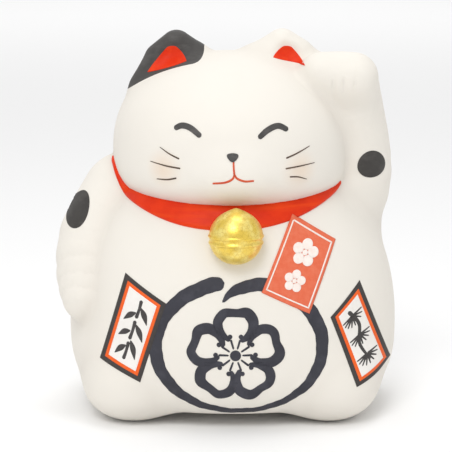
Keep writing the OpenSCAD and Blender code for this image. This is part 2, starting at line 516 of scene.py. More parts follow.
def second_layer(bm: bmesh.types.BMesh) -> set[bmesh.types.BMVert]:
    """Close an open sheet by doubling it and joining the two layers at their rims.

    Args:
        bm: the sheet.

    Returns:
        The new layer's vertices, which still lie on the old ones.
    """
    made = bmesh.ops.extrude_face_region(bm, geom=bm.faces[:], use_keep_orig=True)["geom"]
    return {v for v in made if isinstance(v, bmesh.types.BMVert)}


def score(bm: bmesh.types.BMesh, fields: np.ndarray) -> list[int]:
    """Cut a mesh along the lines where its lowest field changes.

    Args:
        bm: the mesh.
        fields: one row of numbers for each vertex; the column with the lowest wins there.

    Returns:
        For each face, the winning column at its middle.
    """
    rows = {v: row for v, row in zip(bm.verts, fields)}
    own = {v: int(winner) for v, winner in zip(bm.verts, fields.argmin(axis=1))}
    fresh = []
    for e in [e for e in bm.edges if own[e.verts[0]] != own[e.verts[1]]]:
        start, end = e.verts
        i, j = own[start], own[end]
        gap_start, gap_end = rows[start][j] - rows[start][i], rows[end][i] - rows[end][j]
        share = float(np.clip(gap_start / max(gap_start + gap_end, 1e-9), 0.02, 0.98))
        row = rows[start] + (rows[end] - rows[start]) * share
        vert = bmesh.utils.edge_split(e, start, share)[1]
        rows[vert] = row
        fresh.append(vert)
    bmesh.ops.connect_verts(bm, verts=fresh)
    return [int(np.mean([rows[v] for v in f.verts], axis=0).argmin()) for f in bm.faces]


def new_object(name: str, mesh: bpy.types.Mesh) -> bpy.types.Object:
    """Put a finished mesh into the scene as a piece at the origin.

    Args:
        name: the piece's name.
        mesh: its mesh.

    Returns:
        The piece.
    """
    piece = bpy.data.objects.new(name, mesh)
    bpy.context.scene.collection.objects.link(piece)
    return piece


def finish_mesh(name: str, bm: bmesh.types.BMesh, smooth: bool = True) -> bpy.types.Object:
    """Turn a bmesh into a piece.

    Args:
        name: the piece's name.
        bm: the mesh, which is freed.
        smooth: whether its faces are shaded smooth.

    Returns:
        The piece.
    """
    mesh = bpy.data.meshes.new(name)
    for f in bm.faces:
        f.smooth = smooth
    bm.to_mesh(mesh)
    bm.free()
    return new_object(name, mesh)


def dress(piece: bpy.types.Object, material: bpy.types.Material, nodes: Sequence[str],
          body: str = FIGURE) -> bpy.types.Object:
    """Give a piece its finish and its place in the frame.

    Args:
        piece: the piece.
        material: its finish.
        nodes: the CAD nodes that it stands for.
        body: the body that it rides on.

    Returns:
        The piece.
    """
    piece.data.materials.append(material)
    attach(piece, body)
    if nodes:
        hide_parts(*nodes)
    heights = [v.co.z / MM for v in piece.data.vertices]
    LOG.info("%s: %d faces, z %.2f to %.2f mm, rides on %s", piece.name, len(piece.data.polygons), min(heights),
             max(heights), body)
    return piece


def turned(name: str, outline: Sequence[tuple[float, float]], centre: tuple[float, float], steps: int = 96,
           edge: float = 0.4, closed: bool = True) -> bpy.types.Object:
    """Turn an outline round an upright axis and soften its sharp edges.

    Args:
        name: the piece's name.
        outline: radius and height of each corner, in order.
        centre: x and y of the axis.
        steps: how many steps the turn takes.
        edge: size of the softened edges.
        closed: whether the outline closes on itself; if not, it runs from the axis back to the axis.

    Returns:
        The piece.
    """
    bm = bmesh.new()
    chain = [bm.verts.new(((centre[0] + r) * MM, centre[1] * MM, z * MM)) for r, z in outline]
    for a, b in zip(chain, chain[1:] + chain[: 1 if closed else 0]):
        bm.edges.new((a, b))
    axis_at = Vector((centre[0], centre[1], 0)) * MM
    bmesh.ops.spin(bm, geom=bm.verts[:] + bm.edges[:], cent=axis_at, axis=(0, 0, 1), angle=math.tau, steps=steps,
                   use_merge=True)
    bmesh.ops.remove_doubles(bm, verts=bm.verts, dist=1e-6)
    bmesh.ops.recalc_face_normals(bm, faces=bm.faces)
    sharp = [e for e in bm.edges if e.is_manifold and e.calc_face_angle() > math.radians(40)]
    bmesh.ops.bevel(bm, geom=sharp, offset=edge * MM, segments=3, profile=0.5, affect="EDGES", material=-1,
                    clamp_overlap=True)
    return finish_mesh(name, bm)


# ---------------------------------------------------------------- shader groups


class Socket(Enum):
    """Kinds of socket that the shader groups have."""

    NUMBER = "NodeSocketFloat"
    COLOUR = "NodeSocketColor"


def new_group(name: str, inputs: dict[str, tuple[Socket, object]], outputs: dict[str, Socket]) -> tuple:
    """Start a shader group with named inputs and outputs.

    Args:
        name: the group's name.
        inputs: kind and default of each input.
        outputs: kind of each output.

    Returns:
        The group, its input node and its output node.
    """
    group = bpy.data.node_groups.new(name, "ShaderNodeTree")
    for label, (kind, value) in inputs.items():
        socket = group.interface.new_socket(label, in_out="INPUT", socket_type=kind.value)
        socket.default_value = value
    for label, kind in outputs.items():
        group.interface.new_socket(label, in_out="OUTPUT", socket_type=kind.value)
    return group, group.nodes.new("NodeGroupInput"), group.nodes.new("NodeGroupOutput")


class Weave:
    """Short hands for wiring one node tree."""

    def __init__(self, tree: bpy.types.NodeTree) -> None:
        """Keep the tree that is wired."""
        self.tree = tree

    def node(self, kind: str, wires: dict | None = None, **settings) -> bpy.types.Node:
        """Add a node.

        Args:
            kind: the node's type.
            wires: a value or an output socket for each named or numbered input.
            **settings: attributes of the node.

        Returns:
            The node.
        """
        made = self.tree.nodes.new(kind)
        for key, value in settings.items():
            setattr(made, key, value)
        for key, value in (wires or {}).items():
            if isinstance(value, bpy.types.NodeSocket):
                self.tree.links.new(value, made.inputs[key])
            else:
                made.inputs[key].default_value = value
        return made

    def maths(self, what: str, a: object, b: object = 0.0) -> bpy.types.NodeSocket:
        """One sum on numbers.

        Args:
            what: the operation.
            a: first number or socket.
            b: second number or socket.

        Returns:
            The result.
        """
        return self.node("ShaderNodeMath", {0: a, 1: b}, operation=what).outputs[0]

    def noise(self, where: bpy.types.NodeSocket, scale: float | bpy.types.NodeSocket, detail: float = 4.0,
              rough: float = 0.5) -> bpy.types.NodeSocket:
        """Noise from 0 to 1 at a place."""
        wires = {"Vector": where, "Scale": scale, "Detail": detail, "Roughness": rough}
        return self.node("ShaderNodeTexNoise", wires).outputs["Fac"]

    def span(self, value: bpy.types.NodeSocket, low: float, high: float, to_low: float = 0.0,
             to_high: float = 1.0) -> bpy.types.NodeSocket:
        """Stretch a range of values to another, and clamp it."""
        wires = {0: value, 1: low, 2: high, 3: to_low, 4: to_high}
        return self.node("ShaderNodeMapRange", wires, interpolation_type="SMOOTHSTEP").outputs[0]

    def blend(self, share: object, a: object, b: object, how: str = "MIX") -> bpy.types.NodeSocket:
        """Mix two colours.

        Args:
            share: how much of the second.
            a: first colour.
            b: second colour.
            how: the way they mix.

        Returns:
            The mixed colour.
        """
        mix = self.node("ShaderNodeMix", data_type="RGBA", blend_type=how)
        for key, value in ((0, share), (6, a), (7, b)):
            if isinstance(value, bpy.types.NodeSocket):
                self.tree.links.new(value, mix.inputs[key])
            else:
                mix.inputs[key].default_value = value
        return mix.outputs[2]

    def place(self, stretch: tuple[float, float, float] = (1, 1, 1), turn: float = 0.0,
              shift: tuple[float, float, float] = (0, 0, 0)) -> bpy.types.NodeSocket:
        """Object coordinates, stretched, turned about the Y axis and shifted.

        Args:
            stretch: scale on each axis.
            turn: angle about Y.
            shift: how far the coordinates move.

        Returns:
            The mapped coordinates' socket.
        """
        where = self.node("ShaderNodeTexCoord").outputs["Object"]
        wires = {"Vector": where, "Scale": stretch, "Rotation": (0, turn, 0), "Location": shift}
        return self.node("ShaderNodeMapping", wires).outputs[0]


def bisque_grain_group() -> bpy.types.NodeTree:
    """Fine tooth of unglazed clay: height, and a mask of soft mottling.

    Returns:
        The group.
    """
    group, inlet, outlet = new_group(
        "bisque_grain", {"Grain Scale": (Socket.NUMBER, 1500.0), "Mottle Scale": (Socket.NUMBER, 60.0)},
        {"Height": Socket.NUMBER, "Mottle": Socket.NUMBER, "Pits": Socket.NUMBER})
    w = Weave(group)
    where = w.place()
    fine = w.noise(where, inlet.outputs["Grain Scale"], 3.0, 0.6)
    rub = w.noise(w.place((0.35, 0.35, 1.0)), 420.0, 2.0, 0.5)
    height = w.maths("ADD", w.maths("MULTIPLY", fine, 0.6), w.maths("MULTIPLY", rub, 0.4))
    cells = w.node("ShaderNodeTexVoronoi", {"Vector": where, "Scale": 95.0, "Randomness": 1.0})
    near = w.span(cells.outputs["Distance"], 0.02, 0.055, 1.0, 0.0)
    rare = w.span(w.noise(where, 33.0, 1.0), 0.66, 0.7)
    pits = w.maths("MULTIPLY", near, rare)
    mottle = w.noise(where, inlet.outputs["Mottle Scale"], 5.0, 0.62)
    for label, value in (("Height", w.maths("SUBTRACT", height, w.maths("MULTIPLY", pits, 2.0))),
                         ("Mottle", mottle), ("Pits", pits)):
        group.links.new(value, outlet.inputs[label])
    return group


def brushwork_group() -> bpy.types.NodeTree:
    """Streaks that a loaded brush leaves, running along the level: height and a mask of thin places.

    Returns:
        The group.
    """
    group, inlet, outlet = new_group(
        "brushwork", {"Along": (Socket.NUMBER, 40.0), "Across": (Socket.NUMBER, 420.0)},
        {"Height": Socket.NUMBER, "Thin": Socket.NUMBER, "Pool": Socket.NUMBER})
    w = Weave(group)
    where = w.node("ShaderNodeTexCoord").outputs["Object"]
    spread = w.node("ShaderNodeCombineXYZ", {0: inlet.outputs["Along"], 1: inlet.outputs["Along"],
                                             2: inlet.outputs["Across"]}).outputs[0]
    lined = w.node("ShaderNodeVectorMath", {0: where, 1: spread}, operation="MULTIPLY").outputs[0]
    streak = w.noise(lined, 1.0, 4.0, 0.6)
    pool = w.noise(where, 130.0, 3.0, 0.55)
    for label, value in (("Height", streak), ("Thin", w.span(streak, 0.46, 0.7)),
                         ("Pool", w.span(pool, 0.35, 0.7))):
        group.links.new(value, outlet.inputs[label])
    return group


def paper_fibre_group() -> bpy.types.NodeTree:
    """Fibres and cockling of pasted paper.

    Returns:
        The group.
    """
    group, inlet, outlet = new_group(
        "paper_fibre", {"Fibre Scale": (Socket.NUMBER, 900.0)}, {"Height": Socket.NUMBER, "Fibre": Socket.NUMBER})
    w = Weave(group)
    fibre = w.noise(w.place((1.0, 1.0, 0.3)), inlet.outputs["Fibre Scale"], 4.0, 0.65)
    cross = w.noise(w.place((0.3, 1.0, 1.0)), inlet.outputs["Fibre Scale"], 4.0, 0.65)
    both = w.maths("MULTIPLY", w.maths("ADD", fibre, cross), 0.5)
    cockle = w.noise(w.place(), 90.0, 2.0)
    height = w.maths("ADD", both, w.maths("MULTIPLY", cockle, 1.5))
    group.links.new(height, outlet.inputs["Height"])
    group.links.new(w.span(both, 0.35, 0.65), outlet.inputs["Fibre"])
    return group


GROUPS = {name: make() for name, make in (
    ("grain", bisque_grain_group), ("brush", brushwork_group), ("fibre", paper_fibre_group))}

Colour = tuple[float, float, float]


def rgba(colour: Colour) -> tuple[float, float, float, float]:
    """A colour with full cover."""
    return (*colour, 1.0)


def shader(name: str) -> tuple[bpy.types.Material, Weave, bpy.types.Node]:
    """Start a material with a plain Principled BSDF.

    Args:
        name: the material's name.

    Returns:
        The material, its wiring helper and its shader.
    """
    material = bpy.data.materials.new(name)
    material.use_nodes = True
    tree = material.node_tree
    return material, Weave(tree), tree.nodes["Principled BSDF"]


def use_group(w: Weave, name: str, values: dict[str, float] | None = None) -> bpy.types.Node:
    """Place a shared group in a material.

    Args:
        w: the material's wiring helper.
        name: the group.
        values: its input values.

    Returns:
        The group's node.
    """
    made = w.node("ShaderNodeGroup", node_tree=GROUPS[name])
    for label, value in (values or {}).items():
        made.inputs[label].default_value = value
    return made


def bump(w: Weave, bsdf: bpy.types.Node, height: bpy.types.NodeSocket, depth_mm: float, strength: float) -> None:
    """Wire a height into a shader's normal."""
    made = w.node("ShaderNodeBump", {"Height": height, "Strength": strength, "Distance": depth_mm * MM})
    w.tree.links.new(made.outputs[0], bsdf.inputs["Normal"])


@dataclass(frozen=True)
class BisqueFinish:
    """Matt white clay, cooler and darker in the creases where shade is painted, with airbrushed cheeks where it is
    the head.
    """

    name: str
    colour: Colour = (0.820, 0.782, 0.715)
    # colour of the painted shade laid in the creases between the forms
    painted_crease_shade_colour: Colour = (0.71, 0.665, 0.60)
    roughness: float = 0.62
    cheeks: tuple[tuple[float, float, float], ...] = ()   # places in millimetres
    cheek_colour: Colour = (0.90, 0.50, 0.20)
    cheek_size: float = 10.5
    cheek_strength: float = 0.26

    def build(self) -> bpy.types.Material:
        """Make the material.

        Returns:
            The material.
        """
        material, w, bsdf = shader(self.name)
        grain = use_group(w, "grain")
        fold = w.node("ShaderNodeAttribute", attribute_name="fold").outputs["Fac"]
        tone = w.blend(w.span(grain.outputs["Mottle"], 0.3, 0.75, 0.0, 0.22), rgba(self.colour),
                       rgba(tuple(c * 0.955 for c in self.colour)))
        # painted shade: the fold attribute darkens the creases towards the shade colour
        tone = w.blend(w.maths("MULTIPLY", fold, 0.75), tone, rgba(self.painted_crease_shade_colour))
        where = w.node("ShaderNodeTexCoord").outputs["Object"]
        for spot in self.cheeks:
            away = w.node("ShaderNodeVectorMath", {0: where, 1: tuple(c * MM for c in spot)}, operation="DISTANCE")
            cloud = w.span(away.outputs["Value"], self.cheek_size * MM, 0.0, 0.0, self.cheek_strength)
            tone = w.blend(cloud, tone, rgba(self.cheek_colour), "MULTIPLY")
        tone = w.blend(w.maths("MULTIPLY", grain.outputs["Pits"], 0.5), tone, rgba((0.35, 0.30, 0.26)))
        rough = w.span(grain.outputs["Mottle"], 0.2, 0.8, self.roughness - 0.05, self.roughness + 0.08)
        w.tree.links.new(tone, bsdf.inputs["Base Color"])
        w.tree.links.new(rough, bsdf.inputs["Roughness"])
        bsdf.inputs["Specular IOR Level"].default_value = 0.32
        bump(w, bsdf, grain.outputs["Height"], 0.06, 0.35)
        return material


@dataclass(frozen=True)
class PaintFinish:
    """Brushed paint: streaks, thin places that let the clay through, and pools that are deeper."""

    name: str
    colour: Colour
    thin_colour: Colour
    deep_colour: Colour
    roughness: float = 0.5
    thin: float = 0.5
    shine: float = 0.35
    along: float = 40.0
    across: float = 420.0

    def build(self) -> bpy.types.Material:
        """Make the material.

        Returns:
            The material.
        """
        material, w, bsdf = shader(self.name)
        brush = use_group(w, "brush", {"Along": self.along, "Across": self.across})
        grain = use_group(w, "grain")
        tone = w.blend(w.maths("MULTIPLY", brush.outputs["Pool"], 0.6), rgba(self.colour), rgba(self.deep_colour))
        tone = w.blend(w.maths("MULTIPLY", brush.outputs["Thin"], self.thin), tone, rgba(self.thin_colour))
        rough = w.span(brush.outputs["Height"], 0.3, 0.7, self.roughness - 0.08, self.roughness + 0.1)
        w.tree.links.new(tone, bsdf.inputs["Base Color"])
        w.tree.links.new(rough, bsdf.inputs["Roughness"])
        bsdf.inputs["Specular IOR Level"].default_value = self.shine
        height = w.maths("ADD", brush.outputs["Height"], w.maths("MULTIPLY", grain.outputs["Height"], 0.5))
        bump(w, bsdf, height, 0.07, 0.4)
        return material


@dataclass(frozen=True)
class GoldFinish:
    """Satin gold paint, finely crazed, worn paler in scattered patches."""

    name: str = "satin_gold_paint"
    colour: Colour = (0.84, 0.60, 0.095)
    pale: Colour = (0.95, 0.80, 0.27)
    deep: Colour = (0.55, 0.34, 0.04)

    def build(self) -> bpy.types.Material:
        """Make the material.

        Returns:
            The material.
        """
        material, w, bsdf = shader(self.name)
        where = w.place()
        cells = w.node("ShaderNodeTexVoronoi", {"Vector": where, "Scale": 620.0}, feature="DISTANCE_TO_EDGE")
        craze = w.span(cells.outputs["Distance"], 0.0, 0.07, 1.0, 0.0)
        patch = w.noise(where, 210.0, 5.0, 0.6)
        tone = w.blend(w.span(patch, 0.35, 0.7), rgba(self.colour), rgba(self.pale))
        tone = w.blend(w.maths("MULTIPLY", craze, 0.45), tone, rgba(self.deep))
        w.tree.links.new(tone, bsdf.inputs["Base Color"])
        w.tree.links.new(w.span(patch, 0.3, 0.75, 0.30, 0.46), bsdf.inputs["Roughness"])
        bsdf.inputs["Metallic"].default_value = 0.72
        height = w.maths("SUBTRACT", w.maths("MULTIPLY", patch, 1.2), w.maths("MULTIPLY", craze, 0.6))
        bump(w, bsdf, height, 0.05, 0.35)
        return material


@dataclass(frozen=True)
class PaperFinish:
    """Pasted paper in one ink."""

    name: str
    colour: Colour
    worn: Colour
    roughness: float = 0.7

    def build(self) -> bpy.types.Material:
        """Make the material.

        Returns:
            The material.
        """
        material, w, bsdf = shader(self.name)
        fibre = use_group(w, "fibre")
        grain = use_group(w, "grain", {"Mottle Scale": 240.0})
        tone = w.blend(w.maths("MULTIPLY", fibre.outputs["Fibre"], 0.35), rgba(self.colour), rgba(self.worn))
        tone = w.blend(w.span(grain.outputs["Mottle"], 0.5, 0.72, 0.0, 0.3), tone, rgba(self.worn))
        w.tree.links.new(tone, bsdf.inputs["Base Color"])
        rough = w.span(fibre.outputs["Fibre"], 0.0, 1.0, self.roughness - 0.08, self.roughness + 0.08)
        w.tree.links.new(rough, bsdf.inputs["Roughness"])
        bsdf.inputs["Specular IOR Level"].default_value = 0.3
        bump(w, bsdf, fibre.outputs["Height"], 0.05, 0.35)
        return material


@dataclass(frozen=True)
class RubberFinish:
    """Soft greyish stopper rubber with a dusty bloom."""

    name: str = "soft_stopper_rubber"
    colour: Colour = (0.62, 0.62, 0.58)
    bloom: Colour = (0.78, 0.78, 0.75)

    def build(self) -> bpy.types.Material:
        """Make the material.

        Returns:
            The material.
        """
        material, w, bsdf = shader(self.name)
        grain = use_group(w, "grain", {"Grain Scale": 2400.0, "Mottle Scale": 150.0})
        tone = w.blend(w.span(grain.outputs["Mottle"], 0.4, 0.75), rgba(self.colour), rgba(self.bloom))
        w.tree.links.new(tone, bsdf.inputs["Base Color"])
        w.tree.links.new(w.span(grain.outputs["Mottle"], 0.3, 0.8, 0.42, 0.6), bsdf.inputs["Roughness"])
        bump(w, bsdf, grain.outputs["Height"], 0.04, 0.3)
        return material


# ---------------------------------------------------------------- castings


@dataclass
class Castings:
    """The white castings and the black ear, all cut from one blended skin."""

    forms: CatForms
    grain: float = 1.1
    wall: float = 3.0
    slot_half: tuple[float, float] = (18.0, 2.5)
    slot_z: float = 122.0
    slot_corner: float = 1.2
    paint_centre: tuple[float, float] = (-3.1, 77.6)   # the black paint ends on an arc round this x and z
    paint_radius: float = 70.0
    paint_inner_x: float = -11.2
    skin: bmesh.types.BMesh = field(default=None)

    CASTS = ("head_shell", "torso_shell", "white_ear", "raised_arm", "lowered_arm", "left_foot", "right_foot",
             "tail")

    def throw(self) -> None:
        """Make the blended skin."""
        f = self.forms
        parts = [f.torso, f.head, f.black_ear, f.white_ear, f.raised_arm, f.raised_paw, f.lowered_arm, f.tail,
                 *f.feet()]
        self.skin = throw_clay(parts, f.skin, self.grain)

    def ground(self) -> BVHTree:
        """The skin as ground that paint and paper are laid on."""
        return BVHTree.FromBMesh(self.skin)

    def black_paint(self, p: Points) -> Values:
        """Below zero where the ear is painted black.

        Args:
            p: the points.

        Returns:
            Rough distances to its edge.
        """
        from_arc = self.paint_radius - np.hypot(p[:, 0] - self.paint_centre[0], p[:, 2] - self.paint_centre[1])
        above_cheek = self.paint_centre[1] + 30.0 - p[:, 2]
        return np.maximum(soft_max(from_arc, p[:, 0] - self.paint_inner_x, 5.0), above_cheek)

    def coin_slot(self, p: Points) -> Values:
        """Below zero inside the coin slot.

        Args:
            p: the points.

        Returns:
            Rough distances to its edge.
        """
        over_x = np.abs(p[:, 0]) - self.slot_half[0] + self.slot_corner
        over_z = np.abs(p[:, 2] - self.slot_z) - self.slot_half[1] + self.slot_corner
        away = np.hypot(np.maximum(over_x, 0), np.maximum(over_z, 0)) + np.minimum(np.maximum(over_x, over_z), 0)
        return np.where(p[:, 1] > 0, away - self.slot_corner, 50.0)

    def base_hole(self, p: Points) -> Values:
        """Below zero inside the round seat of the base plate.

        Args:
            p: the points.

        Returns:
            Rough distances to its edge.
        """
        low, high = node_box("base_plate")
        centre, radius = (low + high) / 2, (high.x - low.x) / 2
        away = np.hypot(p[:, 0] - centre.x, p[:, 1] - centre.y) - radius - 0.25
        return np.where(p[:, 2] < high.z + 4.0, away, 50.0)

    def cut(self) -> dict[str, bmesh.types.BMesh]:
        """Cut the skin into its castings.

        Returns:
            A mesh for each casting, open where it joins its neighbours.
        """
        bm = self.skin.copy()
        p = coords(bm)
        share = self.forms.shares(p)
        share["head_shell"] = np.minimum(share["head_shell"], share["black_ear"])
        labels = score(bm, np.stack([share[name] for name in self.CASTS], axis=1))
        tag = bm.faces.layers.int.new("cast")
        for f, label in zip(bm.faces, labels):
            f[tag] = label
        extra = len(self.CASTS)
        for number, region in enumerate((self.black_paint, self.coin_slot, self.base_hole)):
            value = region(coords(bm))
            inside = score(bm, np.stack([value, -value], axis=1))
            for f, column in zip(bm.faces, inside):
                if column == 0:
                    f[tag] = extra + number
        put_coords(bm, settle(self.forms.skin, coords(bm), 2))
        cut = {}
        for label, name in enumerate((*self.CASTS, "black_ear")):
            part = bm.copy()
            layer = part.faces.layers.int["cast"]
            spare = [f for f in part.faces if f[layer] != label]
            bmesh.ops.delete(part, geom=spare, context="FACES")
            cut[name] = part
        bm.free()
        return cut

    def painted_crease_shade_mask(self, p: Points) -> Values:
        """How deep in a crease between two forms each point lies, from 0 to 1; it sets how much painted shade the
        crease gets.

        Args:
            p: the points.

        Returns:
            The depth at each point.
        """
        share = self.forms.shares(p)
        ranked = np.sort(np.stack(list(share.values()), axis=1), axis=1)
        return np.exp(-np.maximum(ranked[:, 1], 0.0) / 4.5)

    def wall_up(self, name: str, bm: bmesh.types.BMesh) -> bpy.types.Object:
        """Give a cut skin its wall, and shade it with the whole skin's own normals.

        Args:
            name: the casting's name.
            bm: its skin.

        Returns:
            The piece.
        """
        surface = self.forms.skin
        inner = second_layer(bm)
        p = coords(bm)
        inward = np.array([v in inner for v in bm.verts]) * self.wall
        slope = steepest(surface, p, surface(p))
        p = p - slope * (inward / np.linalg.norm(slope, axis=1))[:, None]
        put_coords(bm, p)
        bmesh.ops.recalc_face_normals(bm, faces=bm.faces)
        piece = finish_mesh(name, bm)
        mesh = piece.data
        off = surface(p)
        slope = steepest(surface, p, off)
        slope /= np.linalg.norm(slope, axis=1)[:, None]
        corner = np.empty(len(mesh.loops), np.int32)
        mesh.loops.foreach_get("vertex_index", corner)
        starts = np.empty(len(mesh.polygons), np.int32)
        mesh.polygons.foreach_get("loop_start", starts)
        deepest = np.minimum.reduceat(off[corner], starts)
        outer = np.repeat(deepest > -0.4, np.diff(np.append(starts, len(corner))))
        normals = np.empty(len(mesh.loops) * 3)
        mesh.corner_normals.foreach_get("vector", normals)
        normals = np.where(outer[:, None], slope[corner], normals.reshape(-1, 3))
        mesh.normals_split_custom_set(normals)
        # the fold attribute carries the painted crease shade that the bisque finish reads
        fold = mesh.attributes.new("fold", "FLOAT", "POINT")
        fold.data.foreach_set("value", self.painted_crease_shade_mask(p).astype(np.float32))
        return piece

    def build(self) -> None:
        """Make and dress every casting."""
        plain = BisqueFinish("white_bisque").build()
        eye_y = node_box("eyes")[0].y
        head = BisqueFinish("white_bisque_blushed", cheeks=((-27.5, eye_y + 6, 106.0), (28.5, eye_y + 6, 105.5)))
        black = PaintFinish("black_ear_paint", (0.062, 0.058, 0.055), (0.12, 0.115, 0.11), (0.04, 0.037, 0.035),
                            roughness=0.6, thin=0.45, along=90.0, across=260.0).build()
        finishes = {"head_shell": (head.build(), "white_bisque"), "black_ear": (black, "black_paint")}
        for name, bm in self.cut().items():
            material, slot = finishes.get(name, (plain, "white_bisque"))
            dress(self.wall_up(name + "_cast", bm), material, [name])


# ---------------------------------------------------------------- collar, bell, base


@dataclass
class Collar:
    """The raised red band, a crescent under the chin that thins out at the cheeks."""

    forms: CatForms
    width: float = 11.6
    lean: float = 0.6
    left_tip: float = -50.5
    right_tip: float = 46.2
    left_top: float = 106.5
    right_top: float = 97.5
    relief: float = 1.15
    edge: float = 1.1
    grain: float = 1.0
    tuck: float = 3.5
    bm: bmesh.types.BMesh = field(default=None)

    def band_edge(self, p: Points) -> Values:
        """Below zero where the band lies, with its width tapering to both tips.

        Args:
            p: the points.

        Returns:
            Rough distances to the band's edge.
        """
        middle, half = (self.left_tip + self.right_tip) / 2, (self.right_tip - self.left_tip) / 2
        along = np.clip(np.abs(p[:, 0] - middle) / half, 0.0, 1.0)
        width = self.width * (1.0 - along**2.4)
        raised = p + np.stack([0 * width, width * self.lean / self.width, width], axis=1)
        above = p[:, 2] - np.where(p[:, 0] > middle, self.right_top, self.left_top)
        edges = (self.forms.head.distance(raised) - 1.0, (along - 0.995) * half, p[:, 1] + 8.0, above)
        return np.maximum.reduce(edges)

    def build(self) -> bpy.types.Object:
        """Make and dress the collar.

        Returns:
            The piece.
        """
        f = self.forms
        parts = [f.torso, f.raised_arm, f.lowered_arm]
        bm = throw_clay(parts, f.shoulders, self.grain)
        p = coords(bm)
        band = np.maximum(self.band_edge(p), -f.head.distance(p) - self.tuck)
        columns = score(bm, np.stack([band, -band], axis=1))
        spare = [face for face, column in zip(bm.faces, columns) if column == 1]
        bmesh.ops.delete(bm, geom=spare, context="FACES")
        loose = islands(bm)[1:]
        bmesh.ops.delete(bm, geom=[v for part in loose for v in part], context="VERTS")
        bmesh.ops.subdivide_edges(bm, edges=bm.edges[:], cuts=1, use_grid_fill=True)
        put_coords(bm, settle(f.shoulders, coords(bm), 2))
        under = second_layer(bm)
        p = coords(bm)
        slope = steepest(f.shoulders, p, f.shoulders(p))
        inset = np.clip(-self.band_edge(p) / self.edge, 0.0, 1.0)
        lift = self.relief * np.sqrt(1.0 - (1.0 - inset) ** 2) + 0.05
        wave = 0.12 * np.sin(p[:, 0] * 0.31) * np.sin(p[:, 2] * 0.9 + p[:, 0] * 0.12)
        lift = np.where([v in under for v in bm.verts], -0.5, lift + wave * inset)
        put_coords(bm, p + slope * lift[:, None])
        bmesh.ops.recalc_face_normals(bm, faces=bm.faces)
        self.bm = bm.copy()
        paint = PaintFinish("vermilion_collar_paint", (0.74, 0.036, 0.003), (0.82, 0.072, 0.005),
                            (0.63, 0.022, 0.002), roughness=0.46, thin=0.6, shine=0.18, along=26.0, across=330.0)
        return dress(finish_mesh("collar_band", bm), paint.build(), ["collar"])


def islands(bm: bmesh.types.BMesh) -> list[set]:
    """Groups of vertices that are joined by edges, the largest first.

    Args:
        bm: the mesh.

    Returns:
        The groups.
    """
    left, found = set(bm.verts), []
    while left:
        seed = left.pop()
        group, edge_of = {seed}, [seed]
        while edge_of:
            for e in edge_of.pop().link_edges:
                for v in e.verts:
                    if v in left:
                        left.discard(v)
                        group.add(v)
                        edge_of.append(v)
        found.append(group)
    return sorted(found, key=len, reverse=True)


@dataclass
class Bell:
    """A round gold bell with a pointed crown, two ribs and a small sounding hole."""

    rib: float = 0.3
    hole: float = 1.6

    def outline(self, radius: float) -> list[tuple[float, float]]:
        """Radius and height of the bell's outline, from its foot to its crown.

        Args:
            radius: radius of the ball.

        Returns:
            The outline.
        """
        points = []
        for angle in np.radians(np.linspace(-90.0, 62.0, 240)):
            r, z = radius * math.cos(angle), radius * math.sin(angle)
            for belt in (0.7, -2.1):
                r += self.rib * math.exp(-(((z - belt) / 0.5) ** 4))
            r -= 0.3 * math.exp(-(((z + 0.7) / 0.6) ** 4))
            points.append((max(r, 0.0), z))
        start_r, start_z = points[-1]
        rise = 2.2
        for t in np.linspace(0.08, 1.0, 12):
            pull = (1 - t) ** 1.15
            points.append((start_r * pull, start_z + rise * (1 - (1 - t) ** 1.5)))
        return points

    def build(self) -> bpy.types.Object:
        """Make and dress the bell.

        Returns:
            The piece.
        """
        low, high = node_box("bell")
        radius = (high.x - low.x) / 2 - self.rib
        centre = Vector(((low.x + high.x) / 2, low.y + radius + self.rib, low.z + radius - 0.7))
        bm = bmesh.new()
        chain = [bm.verts.new((r * MM, 0.0, z * MM)) for r, z in self.outline(radius)]
        for a, b in zip(chain, chain[1:]):
            bm.edges.new((a, b))
        bmesh.ops.spin(bm, geom=bm.verts[:] + bm.edges[:], cent=(0, 0, 0), axis=(0, 0, 1), angle=math.tau,
                       steps=128, use_merge=True)
        bmesh.ops.remove_doubles(bm, verts=bm.verts, dist=2e-6)
        hole_at = Vector((0.0, -radius * 0.9, -4.6))
        for v in bm.verts:
            place = v.co / MM
            away = (place - hole_at).length
            if away < 3 * self.hole and place.y < 0:
                v.co.y += 1.3 * math.exp(-((away / self.hole) ** 2)) * MM
        bmesh.ops.recalc_face_normals(bm, faces=bm.faces)
        bmesh.ops.translate(bm, verts=bm.verts, vec=centre * MM)
        return dress(finish_mesh("gold_bell", bm), GoldFinish().build(), ["bell"])


@dataclass
class Base:
    """The round base plate with its foot ring, and the stopper that closes it."""

    plate_steps: int = 128

    def build(self) -> None:
        """Make and dress both."""
        low, high = node_box("base_plate")
        stop_low, stop_high = node_box("stopper")
        centre = ((low.x + high.x) / 2, (low.y + high.y) / 2)
        ring = (high.x - low.x) / 2
        hole, foot, recess = 15.0, 5.0, 2.6
        plate = [(hole, recess), (ring - foot, recess), (ring - foot, 0.0), (ring, 0.0), (ring, high.z),
                 (hole, high.z)]
        piece = turned("base_plate_cast", plate, centre, self.plate_steps, 0.6)
        clay = BisqueFinish("base_bisque", colour=(0.86, 0.83, 0.78), roughness=0.72)
        dress(piece, clay.build(), ["base_plate"])
        flange = (stop_high.x - stop_low.x) / 2
        face, top = stop_low.z, stop_high.z
        neck, lip = hole - 0.3, hole - 1.5
        thick, pull = 2.4, 7.0
        back = face + 1.8
        plug = [(0.0, face + 0.8), (pull - 1.2, face + 0.8), (pull, face), (flange, face), (flange, back),
                (neck, back), (neck, back + 6.0), (lip, top), (lip - thick, top), (neck - thick, face + 2.8),
                (0.0, face + 2.8)]
        rubber = turned("stopper_plug", plug, centre, self.plate_steps, 0.35, closed=False)
        dress(rubber, RubberFinish().build(), ["stopper"], STOPPER)


# ---------------------------------------------------------------- brushwork and paper


